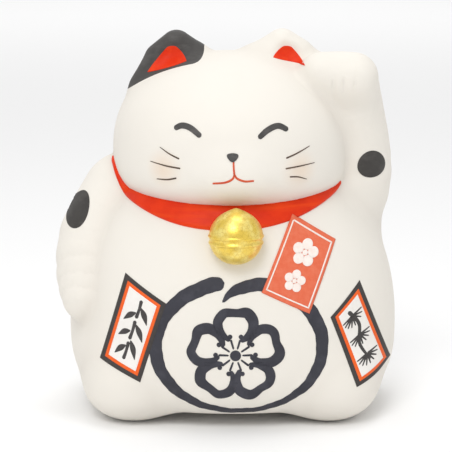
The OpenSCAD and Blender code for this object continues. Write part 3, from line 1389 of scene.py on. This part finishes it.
class Sheet2D:
    """Flat brush strokes and patches drawn in the x-z plane, in millimetres."""

    def __init__(self, pitch: float = 0.5) -> None:
        """Start an empty drawing.

        Args:
            pitch: size of its faces.
        """
        self.bm = bmesh.new()
        self.pitch = pitch

    def grid(self, along: int, across: int) -> tuple[list, np.ndarray]:
        """Add a flat grid.

        Args:
            along: faces one way.
            across: faces the other way.

        Returns:
            Its vertices, and where each lies from -1 to 1 both ways.
        """
        made = bmesh.ops.create_grid(self.bm, x_segments=along, y_segments=across, size=1.0)["verts"]
        return made, np.array([v.co[:2] for v in made])

    def stroke(self, knots: Sequence[Sequence[float]], rag: float = 0.0, seed: int = 0) -> "Sheet2D":
        """Draw one stroke with rounded ends.

        Args:
            knots: x, z and width of the stroke at some places along it.
            rag: how far its edges wander.
            seed: picks the wander.

        Returns:
            The drawing.
        """
        rough = along_curve(knots, 200)
        steps = np.linalg.norm(np.diff(rough[:, :2], axis=0), axis=1)
        far = np.concatenate([[0.0], np.cumsum(steps)])
        width = max(k[2] for k in knots)
        along = max(int(far[-1] / self.pitch), 6)
        across = max(int(width / self.pitch), 2)
        made, uv = self.grid(along, across)
        s = (uv[:, 0] + 1) / 2 * far[-1]
        at = np.stack([np.interp(s, far, rough[:, i]) for i in range(3)], axis=1)
        ahead = np.stack([np.interp(s + 0.1, far, rough[:, i]) - np.interp(s - 0.1, far, rough[:, i])
                          for i in range(2)], axis=1)
        ahead /= np.linalg.norm(ahead, axis=1)[:, None]
        half = at[:, 2] / 2
        for end, r in ((s, max(knots[0][2] / 2, 0.1)), (far[-1] - s, max(knots[-1][2] / 2, 0.1))):
            half = half * np.sqrt(np.clip(1 - (1 - np.minimum(end / r, 1)) ** 2, 0.0025, 1))
        if rag:
            side = np.sign(uv[:, 1])
            wander = np.sin(s * 0.55 + seed * 2.1 + side * 1.3) + 0.5 * np.sin(s * 1.45 + seed + side * 2.0)
            half = half + rag * wander * np.abs(uv[:, 1])
        place = at[:, :2] + np.stack([-ahead[:, 1], ahead[:, 0]], axis=1) * (uv[:, 1] * half)[:, None]
        for v, (x, z) in zip(made, place):
            v.co = (x, 0.0, z)
        return self

    def patch(self, outline: Callable[[np.ndarray], np.ndarray], size: float) -> "Sheet2D":
        """Draw a filled patch.

        Args:
            outline: turns places on the unit disc into x and z.
            size: rough width of the patch.

        Returns:
            The drawing.
        """
        count = max(int(size / self.pitch), 6)
        made, uv = self.grid(count, count)
        u, v = uv.T
        disc = np.stack([u * np.sqrt(1 - v**2 / 2), v * np.sqrt(1 - u**2 / 2)], axis=1)
        for vert, (x, z) in zip(made, outline(disc)):
            vert.co = (x, 0.0, z)
        return self

    def panel(self, corners: Sequence[Sequence[float]], inset: tuple[float, float] = (0.0, 0.0),
              sag: float = 0.0) -> "Sheet2D":
        """Draw a four-cornered panel.

        Args:
            corners: x and z of its four corners in order.
            inset: how far it is drawn in from the short and the long edges, as shares.
            sag: how far its edges bow inwards.

        Returns:
            The drawing.
        """
        a, b, c, d = (np.array(k, float) for k in corners)
        across = max(int(np.linalg.norm(b - a) / self.pitch), 4)
        down = max(int(np.linalg.norm(d - a) / self.pitch), 4)
        made, uv = self.grid(across, down)
        s = inset[0] + (1 - 2 * inset[0]) * (uv[:, :1] + 1) / 2
        t = inset[1] + (1 - 2 * inset[1]) * (uv[:, 1:] + 1) / 2
        place = (a * (1 - s) + b * s) * (1 - t) + (d * (1 - s) + c * s) * t
        middle = (a + b + c + d) / 4
        bow = sag * (4 * s * (1 - s) * np.abs(2 * t - 1) + 4 * t * (1 - t) * np.abs(2 * s - 1))
        place = place + (middle - place) * bow
        for v, (x, z) in zip(made, place):
            v.co = (x, 0.0, z)
        return self

    def frame_line(self, corners: Sequence[Sequence[float]], width: float) -> "Sheet2D":
        """Draw a line round four corners with mitred joints.

        Args:
            corners: x and z of the corners in order.
            width: width of the line.

        Returns:
            The drawing.
        """
        k = [np.array(c, float) for c in corners]
        middle = sum(k) / 4
        for a, b in zip(k, k[1:] + k[:1]):
            run = (b - a) / np.linalg.norm(b - a)
            ahead_a = mitre(a, middle, run, width)
            ahead_b = mitre(b, middle, -run, width)
            made, uv = self.grid(max(int(np.linalg.norm(b - a) / self.pitch), 4), 2)
            s, t = (uv[:, :1] + 1) / 2, (uv[:, 1:] + 1) / 2
            outer = a * (1 - s) + b * s
            inner = ahead_a * (1 - s) + ahead_b * s
            for v, (x, z) in zip(made, outer * (1 - t) + inner * t):
                v.co = (x, 0.0, z)
        return self


def mitre(corner: np.ndarray, middle: np.ndarray, run: np.ndarray, width: float) -> np.ndarray:
    """Inner corner of a mitred frame.

    Args:
        corner: the outer corner.
        middle: middle of the frame.
        run: direction along one edge away from the corner.
        width: width of the frame's line.

    Returns:
        The inner corner.
    """
    inward = middle - corner
    off_edge = abs(inward[0] * run[1] - inward[1] * run[0])
    return corner + inward * (width / off_edge)


@dataclass
class Film:
    """A thin layer of paint or paper that lies on the skin."""

    ground: BVHTree
    lift: float = 0.14
    sunk: float = 0.12

    def lay(self, name: str, drawing: Sheet2D, material: bpy.types.Material, slot: str, nodes: Sequence[str],
            lift: float | None = None, soften: int = 0) -> bpy.types.Object:
        """Cast a flat drawing onto the skin and give it its thickness.

        Args:
            name: the piece's name.
            drawing: the drawing.
            material: its finish.
            slot: name of a material slot; not used.
            nodes: the CAD nodes that it stands for.
            lift: how far its face stands off the skin, if not the usual.
            soften: how many times its hollows are smoothed.

        Returns:
            The piece.
        """
        lift = self.lift if lift is None else lift
        bm = drawing.bm
        upper = second_layer(bm)
        for v in bm.verts:
            hit, normal, _, _ = self.ground.ray_cast(Vector((v.co.x * MM, -0.2, v.co.z * MM)), Vector((0, 1, 0)))
            if hit is None or hit.y > 0:
                hit, normal, _, _ = self.ground.find_nearest(Vector((v.co.x * MM, -0.01, v.co.z * MM)))
            v.co = hit + normal * (lift if v in upper else -self.sunk) * MM
        for _ in range(soften):
            bmesh.ops.smooth_vert(bm, verts=bm.verts, factor=0.5, use_axis_x=False, use_axis_y=True,
                                  use_axis_z=False)
        bmesh.ops.recalc_face_normals(bm, faces=bm.faces)
        return dress(finish_mesh(name, bm), material, nodes)


@dataclass
class FacePaint:
    """Eyes, nose, mouth and whiskers."""

    film: Film

    def build(self) -> None:
        """Draw and dress the whole face."""
        black = PaintFinish("black_face_paint", (0.065, 0.062, 0.060), (0.13, 0.12, 0.115),
                            (0.045, 0.042, 0.04), roughness=0.52, along=200.0, across=500.0).build()
        brown = PaintFinish("whisker_paint", (0.10, 0.065, 0.045), (0.20, 0.12, 0.07), (0.06, 0.04, 0.03),
                            roughness=0.55).build()
        red = PaintFinish("mouth_paint", (0.62, 0.085, 0.03), (0.75, 0.16, 0.06), (0.5, 0.05, 0.02),
                          roughness=0.5).build()
        eyes = Sheet2D(0.3)
        eyes.stroke([(-22.7, 122.4, 1.9), (-19.6, 123.8, 2.3), (-16.0, 122.9, 2.4), (-11.9, 119.7, 2.1)])
        eyes.stroke([(10.9, 119.1, 2.0), (14.6, 122.2, 2.4), (18.8, 123.7, 2.3), (22.8, 121.9, 1.9)])
        self.film.lay("eye_strokes", eyes, black, "black_paint", ["eyes"])
        nose = Sheet2D(0.25).patch(self.nose_outline, 5.2)
        self.film.lay("nose_paint", nose, black, "black_paint", ["nose"], lift=0.3)
        mouth = Sheet2D(0.22)
        mouth.stroke([(1.0, 110.2, 0.7), (1.1, 107.5, 0.75), (1.4, 104.4, 0.8)])
        mouth.stroke([(1.4, 105.4, 0.6), (0.6, 103.4, 0.85), (-2.4, 101.9, 0.8), (-7.4, 101.4, 0.7)])
        mouth.stroke([(1.3, 105.4, 0.6), (2.4, 103.6, 0.85), (5.4, 102.4, 0.8), (9.2, 102.5, 0.7)])
        self.film.lay("mouth_line", mouth, red, "vermilion_paint", ["mouth"])
        whiskers = Sheet2D(0.22)
        for knots in ([(-20.6, 110.6, 0.6), (-24.6, 112.4, 0.5), (-28.6, 114.9, 0.22)],
                      [(-20.2, 106.8, 0.62), (-26.0, 107.5, 0.55), (-32.6, 108.8, 0.22)],
                      [(-21.8, 102.8, 0.62), (-25.6, 101.9, 0.6), (-30.0, 101.8, 0.3)],
                      [(22.0, 110.8, 0.62), (26.6, 112.6, 0.55), (31.7, 115.1, 0.22)],
                      [(21.8, 106.6, 0.6), (27.8, 107.3, 0.5), (33.8, 108.1, 0.22)],
                      [(23.5, 103.2, 0.55), (27.0, 102.9, 0.5), (30.6, 101.6, 0.25)]):
            whiskers.stroke(knots)
        self.film.lay("whisker_strokes", whiskers, brown, "black_paint", ["whiskers"])

    @staticmethod
    def nose_outline(disc: np.ndarray) -> np.ndarray:
        """A soft three-cornered nose.

        Args:
            disc: places on the unit disc.

        Returns:
            Their x and z.
        """
        x, z = disc.T
        narrow = 0.80 + 0.26 * z
        return np.stack([0.65 + 2.75 * x * narrow, 111.7 + 1.75 * z + 0.25 * x**2], axis=1)


@dataclass
class SkinPaint:
    """Ear linings, arm spots, the belly ring and the blossom in it."""

    film: Film
    ring_centre: tuple[float, float] = (3.2, 35.2)
    ring_half: tuple[float, float] = (33.7, 27.0)

    def ring_knots(self) -> list[tuple[float, float, float]]:
        """The ring's one long stroke: full at its start, thin under the belly, tapering inwards at its end."""
        widths = [(100, 4.6), (106, 5.9), (140, 5.4), (180, 5.6), (215, 4.8), (250, 2.8), (280, 2.2), (310, 3.0),
                  (340, 4.6), (380, 5.4), (410, 5.6), (436, 5.4), (452, 4.4), (466, 0.9)]
        angles = np.linspace(100, 466, 46)
        knots = []
        for a in angles:
            pull_in = 1.0 - 0.27 * max((a - 428) / 38, 0.0) ** 1.7
            width = float(np.interp(a, *zip(*widths)))
            x = self.ring_centre[0] + self.ring_half[0] * pull_in * math.cos(math.radians(a))
            z = self.ring_centre[1] + self.ring_half[1] * pull_in * math.sin(math.radians(a))
            knots.append((x, z, width))
        return knots

    def blossom(self) -> Sheet2D:
        """A plum blossom in bold brush strokes on a short twig.

        Returns:
            The drawing.
        """
        sheet = Sheet2D(0.5)
        middle = np.array((1.8, 32.6))
        for i in range(5):
            turn = math.radians(90 + 72 * i)
            out, side = np.array((math.cos(turn), math.sin(turn))), np.array((-math.sin(turn), math.cos(turn)))
            petal = ((5.6, -2.0, 1.5), (8.8, -5.8, 3.4), (13.2, -7.2, 4.3), (17.0, -4.9, 4.4), (17.2, -0.4, 3.3),
                     (17.2, 4.4, 3.7), (13.4, 7.0, 3.9), (9.0, 5.6, 3.0), (6.0, 2.2, 1.2))
            knots = [(*(middle + out * along + side * across), width) for along, across, width in petal]
            sheet.stroke(knots, rag=0.07, seed=i)
            for angle in (-16, 16):
                a = turn + math.radians(angle)
                ray = np.array((math.cos(a), math.sin(a)))
                near, tip = middle + ray * 2.6, middle + ray * 7.0
                sheet.stroke([(*near, 0.7), (*tip, 0.9)])
                dot = middle + ray * 8.0
                sheet.patch(lambda d, c=dot: c + d * 0.95, 1.9)
        sheet.patch(lambda d: middle + d * 2.2, 4.4)
        return sheet

    def build(self) -> None:
        """Draw and dress the paint on the castings."""
        ink = PaintFinish("blue_black_ink", (0.038, 0.038, 0.050), (0.085, 0.085, 0.105), (0.024, 0.024, 0.034),
                          roughness=0.56, thin=0.35, along=160.0, across=160.0).build()
        red = PaintFinish("vermilion_lining_paint", (0.73, 0.034, 0.004), (0.80, 0.065, 0.010), (0.64, 0.024, 0.003),
                          roughness=0.5, thin=0.5, shine=0.18, along=200.0, across=200.0).build()
        black = PaintFinish("black_spot_paint", (0.048, 0.044, 0.040), (0.090, 0.084, 0.078), (0.034, 0.030, 0.028),
                            roughness=0.55, along=120.0, across=220.0).build()
        lay = self.film.lay
        lay("ring_stroke", Sheet2D(0.7).stroke(self.ring_knots(), rag=0.13, seed=3), ink, "ink_wash",
            ["belly_ring"])
        lay("blossom_strokes", self.blossom(), ink, "ink_wash", ["belly_blossom"])
        linings = Sheet2D(0.35)
        linings.panel([(-34.8, 142.3), (-26.6, 152.6), (-22.8, 152.8), (-18.4, 147.2)], sag=-0.10)
        linings.panel([(17.5, 148.6), (21.6, 152.9), (25.2, 152.7), (30.4, 145.9)], sag=-0.12)
        lay("ear_lining_paint", linings, red, "vermilion_paint", ["ear_linings"])
        spots = Sheet2D(0.5)
        spots.patch(lambda d: np.array((58.9, 103.9)) + d * (6.1, 5.75) + np.array((0, -0.5)) * d[:, :1] ** 2, 12.0)
        spots.patch(self.egg, 15.0)
        lay("arm_spot_paint", spots, black, "black_paint", ["arm_spots"])

    @staticmethod
    def egg(disc: np.ndarray) -> np.ndarray:
        """The leaning egg-shaped spot on the lowered arm.

        Args:
            disc: places on the unit disc.

        Returns:
            Their x and z.
        """
        lean = math.radians(-24)
        across = disc[:, 0] * (4.5 - 0.75 * disc[:, 1])
        along = disc[:, 1] * 7.8
        x = -63.9 + across * math.cos(lean) - along * math.sin(lean)
        z = 85.4 + across * math.sin(lean) + along * math.cos(lean)
        return np.stack([x, z], axis=1)


@dataclass
class PastedPaper:
    """The two dark-bordered slips and the red card."""

    film: Film
    left: tuple = ((-42.8, 63.4), (-26.0, 52.8), (-36.7, 20.2), (-53.6, 27.9))
    right: tuple = ((52.6, 59.2), (67.5, 22.6), (51.1, 17.4), (40.2, 46.3))
    card: tuple = ((24.7, 87.4), (42.4, 76.4), (31.4, 48.6), (12.2, 57.8))
    papers: dict = field(default_factory=dict)

    def inked(self) -> None:
        """Make the paper finishes."""
        for name, colour, worn in (("slip_border_black", (0.045, 0.04, 0.038), (0.09, 0.08, 0.075)),
                                   ("slip_line_orange", (0.84, 0.105, 0.010), (0.88, 0.2, 0.05)),
                                   ("slip_white", (0.86, 0.83, 0.79), (0.80, 0.76, 0.71)),
                                   ("slip_ink", (0.05, 0.045, 0.045), (0.12, 0.11, 0.105)),
                                   ("card_red", (0.73, 0.135, 0.060), (0.80, 0.24, 0.14)),
                                   ("card_white", (0.90, 0.84, 0.79), (0.84, 0.62, 0.54))):
            self.papers[name] = PaperFinish(name, colour, worn).build()

    def slip(self, name: str, corners: tuple, node: str, motif: Callable[[Callable], Sheet2D]) -> None:
        """Paste one slip: dark border, orange line, white field and an ink motif.

        Args:
            name: start of the pieces' names.
            corners: its corners in order.
            node: the CAD node that it stands for.
            motif: draws the motif, given the way from the slip's own shares to x and z.
        """
        lay = self.film.lay
        long_side = np.linalg.norm(np.array(corners[0]) - np.array(corners[3]))
        short_side = np.linalg.norm(np.array(corners[0]) - np.array(corners[1]))
        swap = short_side > long_side
        lay(name + "_border", Sheet2D(0.6).panel(corners, sag=0.01), self.papers["slip_border_black"],
            "slip_paper", [node], lift=0.16)
        near = min(short_side, long_side)
        far = max(short_side, long_side)
        edge = (1.9 / far, 1.9 / near) if swap else (1.9 / near, 1.9 / far)
        inner = (3.3 / far, 3.3 / near) if swap else (3.3 / near, 3.3 / far)
        lay(name + "_line", Sheet2D(0.5).panel(corners, edge, sag=0.01), self.papers["slip_line_orange"],
            "slip_paper", [], lift=0.22)
        lay(name + "_field", Sheet2D(0.5).panel(corners, inner, sag=0.01), self.papers["slip_white"], "slip_paper",
            [], lift=0.28)

        def at(across: float, down: float) -> np.ndarray:
            """Turn shares across and down the slip into x and z.

            Args:
                across: share of the way across.
                down: share of the way down.

            Returns:
                The place on the slip.
            """
            a, b, c, d = (np.array(k, float) for k in corners)
            if swap:
                a, b, c, d = b, c, d, a
            return (a * (1 - across) + b * across) * (1 - down) + (d * (1 - across) + c * across) * down

        lay(name + "_motif", motif(at), self.papers["slip_ink"], "slip_paper", [], lift=0.34)

    @staticmethod
    def bamboo(at: Callable[[float, float], np.ndarray]) -> Sheet2D:
        """A bamboo stem with leaves hanging to both sides.

        Args:
            at: gives x and z for shares across and down the slip.

        Returns:
            The drawing.
        """
        sheet = Sheet2D(0.35)
        for top, foot in ((0.14, 0.36), (0.385, 0.62), (0.645, 0.86)):
            sheet.stroke([(*at(0.5, top), 1.5), (*at(0.51, (top + foot) / 2), 1.15), (*at(0.5, foot), 1.5)])
        for across, down, to_across, to_down in ((0.53, 0.22, 0.76, 0.36), (0.47, 0.30, 0.25, 0.45),
                                                 (0.53, 0.42, 0.78, 0.57), (0.47, 0.52, 0.24, 0.64),
                                                 (0.53, 0.62, 0.74, 0.80), (0.47, 0.70, 0.28, 0.85)):
            middle = at((across + to_across) / 2, (down + to_down) / 2 - 0.015)
            sheet.stroke([(*at(across, down), 0.5), (*middle, 2.3), (*at(to_across, to_down), 0.25)])
        return sheet

    @staticmethod
    def pine(at: Callable[[float, float], np.ndarray]) -> Sheet2D:
        """Three fans of pine needles on a crooked twig.

        Args:
            at: gives x and z for shares across and down the slip.

        Returns:
            The drawing.
        """
        sheet = Sheet2D(0.35)
        sheet.stroke([(*at(0.55, 0.86), 1.7), (*at(0.42, 0.64), 1.4), (*at(0.58, 0.44), 1.3), (*at(0.48, 0.2), 0.8)])
        for across, down in ((0.5, 0.28), (0.5, 0.53), (0.5, 0.78)):
            heart = at(across, down)
            for degrees in range(0, 181, 22):
                angle = math.radians(degrees)
                tip = at(across + 0.30 * math.cos(angle), down - 0.125 * math.sin(angle))
                sheet.stroke([(*heart, 0.95), (*tip, 0.45)])
        return sheet

    def card_blossoms(self) -> Sheet2D:
        """Two white blossoms for the card.

        Returns:
            The drawing.
        """
        a, b, c, d = (np.array(k, float) for k in self.card)
        sheet = Sheet2D(0.4)
        for down, across, size in ((0.33, 0.5, 1.0), (0.70, 0.5, 0.82)):
            top, foot = a * (1 - across) + b * across, d * (1 - across) + c * across
            middle = top * (1 - down) + foot * down
            for i in range(5):
                turn = math.radians(72 + 72 * i)
                out = np.array((math.cos(turn), math.sin(turn)))
                sheet.patch(lambda disc, m=middle, o=out, s=size: m + o * 3.3 * s + disc * 2.15 * s, 4.2 * size)
            sheet.patch(lambda disc, m=middle, s=size: m + disc * 1.1 * s, 2.2)
        return sheet

    def build(self, over_collar: BVHTree) -> None:
        """Paste everything.

        Args:
            over_collar: the ground with the collar on it, which the card lies over.
        """
        self.inked()
        self.slip("left_slip", self.left, "left_slip", self.bamboo)
        self.slip("right_slip", self.right, "right_slip", self.pine)
        ground = Film(over_collar, lift=0.45, sunk=0.0)
        lay = ground.lay
        lay("card_sheet", Sheet2D(0.6).panel(self.card), self.papers["card_red"], "card_paper", ["luck_card"],
            soften=2)
        line = [np.array(k) + (np.mean(self.card, axis=0) - np.array(k)) * 0.105 for k in self.card]
        lay("card_line", Sheet2D(0.3).frame_line(line, 0.55), self.papers["card_white"], "card_paper", [],
            lift=0.6, soften=0)
        lay("card_motif", self.card_blossoms(), self.papers["card_white"], "card_paper", [], lift=0.6, soften=0)


# ---------------------------------------------------------------- studio


@dataclass(frozen=True)
class Studio:
    """Pale floor, soft light and the camera."""

    aim: tuple[float, float, float] = (0.0, 0.0, 0.078)
    distance: float = 0.8
    elevation: float = 9.0
    lens: float = 148.5
    shift: tuple[float, float] = (-0.0111, -0.0142)

    def camera(self) -> None:
        """Place the camera."""
        data = bpy.data.cameras.new("camera")
        data.lens, data.sensor_width = self.lens, 36.0
        data.shift_x, data.shift_y = self.shift
        data.clip_start, data.clip_end = 0.01, 20.0
        cam = bpy.data.objects.new("camera", data)
        bpy.context.scene.collection.objects.link(cam)
        tilt = math.radians(self.elevation)
        away = Vector((0.0, -math.cos(tilt), math.sin(tilt)))
        cam.location = Vector(self.aim) + away * self.distance
        cam.rotation_euler = (-away).to_track_quat("-Z", "Y").to_euler()
        bpy.context.scene.camera = cam

    def floor(self) -> None:
        """Lay the floor."""
        bm = bmesh.new()
        bmesh.ops.create_grid(bm, x_segments=2, y_segments=2, size=6.0)
        floor = finish_mesh("floor", bm)
        material, _, bsdf = shader("pale_floor")
        bsdf.inputs["Base Color"].default_value = rgba((0.93, 0.93, 0.93))
        bsdf.inputs["Roughness"].default_value = 0.9
        floor.data.materials.append(material)

    def light(self) -> None:
        """Set the soft lights."""
        world = bpy.data.worlds.new("studio")
        world.use_nodes = True
        world.node_tree.nodes["Background"].inputs[0].default_value = (1.0, 1.0, 1.0, 1.0)
        world.node_tree.nodes["Background"].inputs[1].default_value = 0.75
        bpy.context.scene.world = world
        for name, place, size, watts in (("key", (-0.25, -0.92, 1.0), 0.5, 5.2),
                                         ("fill", (0.9, -0.7, 0.45), 0.9, 0.3),
                                         ("top", (0.05, 0.0, 1.2), 0.5, 2.4),
                                         ("backdrop", (0.0, 3.6, 2.4), 3.0, 26.0)):
            data = bpy.data.lights.new(name, "AREA")
            data.size, data.energy = size, watts
            lamp = bpy.data.objects.new(name, data)
            bpy.context.scene.collection.objects.link(lamp)
            lamp.location = place
            target = Vector(self.aim) if name != "backdrop" else Vector((0.0, 3.6, 0.0))
            lamp.rotation_euler = (target - Vector(place)).to_track_quat("-Z", "Y").to_euler()

    def build(self) -> None:
        """Set up everything that isn't the object."""
        self.camera()
        self.floor()
        self.light()
        bpy.context.scene.view_settings.view_transform = "Standard"


def main() -> None:
    """Build the whole cat."""
    logging.basicConfig(level=logging.INFO, format="%(message)s")
    Studio().build()
    forms = cat_forms()
    castings = Castings(forms)
    castings.throw()
    ground = castings.ground()
    collar = Collar(forms)
    collar.build()
    Bell().build()
    Base().build()
    film = Film(ground)
    FacePaint(film).build()
    SkinPaint(film).build()
    both = castings.skin.copy()
    pour(collar.bm, both)
    PastedPaper(film).build(BVHTree.FromBMesh(both))
    castings.build()


if __name__ == "__main__":
    main()
